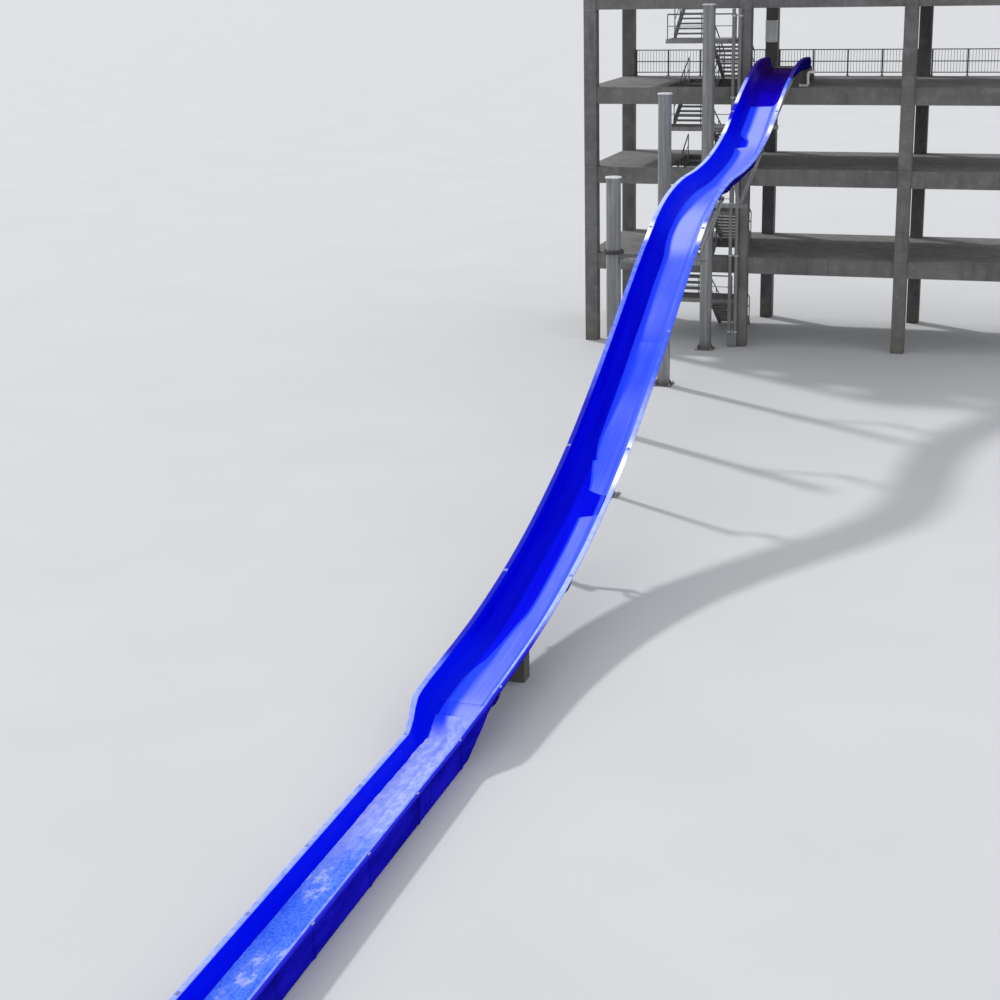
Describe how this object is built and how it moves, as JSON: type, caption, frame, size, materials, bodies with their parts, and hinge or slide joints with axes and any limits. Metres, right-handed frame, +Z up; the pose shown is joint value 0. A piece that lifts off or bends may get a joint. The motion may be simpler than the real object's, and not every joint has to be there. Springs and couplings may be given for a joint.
{
  "type": "water slide tower, half-size scale model",
  "caption": "Open flume body slide that drops in two waves from a concrete launch tower with stairs, past steel support poles, into a straight run-out channel.",
  "frame": {"origin": "middle of the footprint's bounding box, on the ground", "axes": "+Y runs uphill along the slide from the run-out to the tower, +X is to the right when facing the tower, +Z up"},
  "size_m": [9.65, 29.865, 7.525],
  "materials": {
    "flume": "glossy gelcoat on moulded fibreglass",
    "concrete": "weathered cast concrete",
    "steel": "grey painted steel tube",
    "rail": "painted steel tube",
    "pipe": "pale plastic pipe and enclosure"
  },
  "bodies": {
    "root": {"start_tub": "flume", "drop_1a": "flume", "drop_1b": "flume", "drop_2a": "flume", "drop_2b": "flume", "drop_2c": "flume", "glide_a": "flume", "glide_b": "flume", "transition": "flume", "runout_1": "flume", "runout_2": "flume", "runout_3": "flume", "runout_4": "flume", "runout_5": "flume", "runout_end_wall": "flume", "column_front_1": "concrete", "column_front_2": "concrete", "column_front_3": "concrete", "column_front_4": "concrete", "column_rear_1": "concrete", "column_rear_2": "concrete", "column_rear_3": "concrete", "column_rear_4": "concrete", "floor_1": "concrete", "floor_2": "concrete", "floor_3": "concrete", "floor_4": "concrete", "stair_1_lower": "concrete", "stair_1_upper": "concrete", "stair_2_lower": "concrete", "stair_2_upper": "concrete", "stair_3_lower": "concrete", "stair_3_upper": "concrete", "stair_4_lower": "concrete", "stair_4_upper": "concrete", "pole_lower": "steel", "pole_lower_bracket": "steel", "pole_middle": "steel", "pole_middle_bracket": "steel", "pole_upper": "steel", "pole_upper_bracket": "steel", "post_upper": "steel", "post_lower": "steel", "pedestal": "concrete", "launch_platform": "concrete", "feed_pipe": "pipe", "rain_pipes": "pipe", "control_box": "pipe", "top_rail_front": "rail", "top_rail_rear": "rail", "top_rail_left": "rail", "top_rail_right": "rail", "launch_rail_1": "rail", "launch_rail_2": "rail", "launch_rail_3": "rail"}
  },
  "joints": []
}
